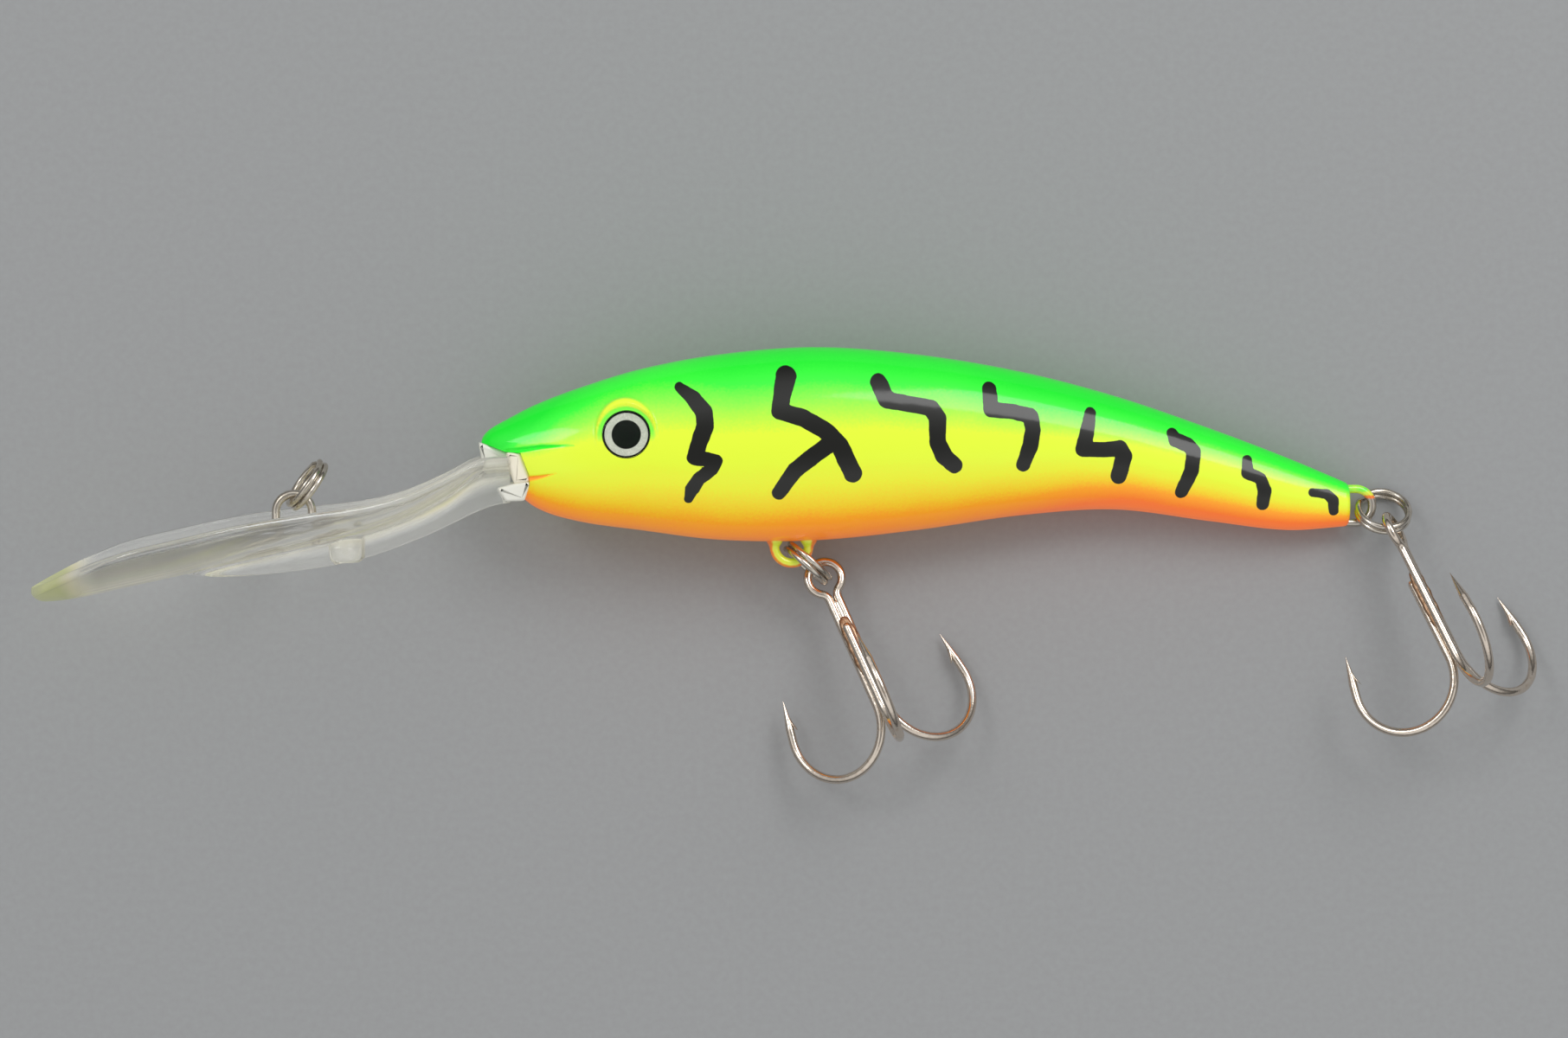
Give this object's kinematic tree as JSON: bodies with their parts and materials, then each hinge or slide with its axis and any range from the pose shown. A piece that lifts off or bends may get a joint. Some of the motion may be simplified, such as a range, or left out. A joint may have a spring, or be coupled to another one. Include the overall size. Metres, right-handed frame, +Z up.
{
  "type": "crankbait lure",
  "caption": "Deep-diving crankbait: hollow shaped body in two shells, long clear cupped lip, line-tie wire, split rings and hanging treble hooks.",
  "frame": {"origin": "on the floor, under the middle of the lure's outline as it lies on its right flank", "axes": "+X towards the tail, +Y towards the back, +Z up from the floor, out of the left flank"},
  "size_m": [0.1898, 0.0552, 0.0263],
  "materials": {
    "paint": "sprayed fluorescent pattern under clear lacquer",
    "clear": "clear moulding",
    "nickel": "bright nickel plate",
    "brass": "brazing metal",
    "foil": "printed silver and black",
    "lead": "dull, cast",
    "steel": "polished ball"
  },
  "bodies": {
    "lure": {"shell_left": "paint", "shell_right": "paint", "diving_lip": "clear", "line_tie_wire": "nickel", "belly_hanger": "nickel", "tail_hanger": "nickel", "eye_foil_left": "foil", "eye_foil_right": "foil", "eye_dome_left": "clear", "eye_dome_right": "clear", "belly_ballast": "lead"},
    "line_tie_ring": {"line_tie_ring": "nickel"},
    "belly_ring": {"belly_ring": "nickel"},
    "tail_ring": {"tail_ring": "nickel"},
    "belly_treble": {"belly_treble_double": "nickel", "belly_treble_single": "nickel", "belly_treble_braze": "brass"},
    "tail_treble": {"tail_treble_double": "nickel", "tail_treble_single": "nickel", "tail_treble_braze": "brass"},
    "rattle_ball_front": {"rattle_ball_front": "steel"},
    "rattle_ball_middle": {"rattle_ball_middle": "steel"},
    "rattle_ball_rear": {"rattle_ball_rear": "steel"}
  },
  "joints": [
    {"name": "line_tie_ring_swing", "type": "hinge", "parent": "lure", "child": "line_tie_ring", "pos_m": [-0.06106, 0.00885, 0.01226], "axis": [-0.9098, 0.4061, 0.0859], "range_deg": [-60, 45]},
    {"name": "belly_ring_swing", "type": "hinge", "parent": "lure", "child": "belly_ring", "pos_m": [0.00186, 0.00094, 0.00745], "axis": [0.7322, 0.6809, -0.0127], "range_deg": [-60, 3]},
    {"name": "tail_ring_swing", "type": "hinge", "parent": "lure", "child": "tail_ring", "pos_m": [0.07403, 0.00733, 0.0028], "axis": [0.1168, 0.992, 0.0475], "range_deg": [-4, 35]},
    {"name": "belly_treble_swing", "type": "hinge", "parent": "belly_ring", "child": "belly_treble", "pos_m": [0.0033, -0.0007, 0.0028], "axis": [-0.706, 0.5857, -0.398], "range_deg": [-24, 20]},
    {"name": "tail_treble_swing", "type": "hinge", "parent": "tail_ring", "child": "tail_treble", "pos_m": [0.07711, 0.00482, 0.00499], "axis": [0.8518, 0.3078, -0.4238], "range_deg": [-14, 60]},
    {"name": "rattle_front_roll", "type": "slide", "parent": "lure", "child": "rattle_ball_front", "axis": [0.9976, 0, -0.0692], "range_m": [-0.0025, 0]},
    {"name": "rattle_middle_roll", "type": "slide", "parent": "lure", "child": "rattle_ball_middle", "axis": [0.9976, 0, -0.0692], "range_m": [-0.0025, 0]},
    {"name": "rattle_rear_roll", "type": "slide", "parent": "lure", "child": "rattle_ball_rear", "axis": [0.9976, 0, -0.0692], "range_m": [-0.0025, 0]}
  ]
}
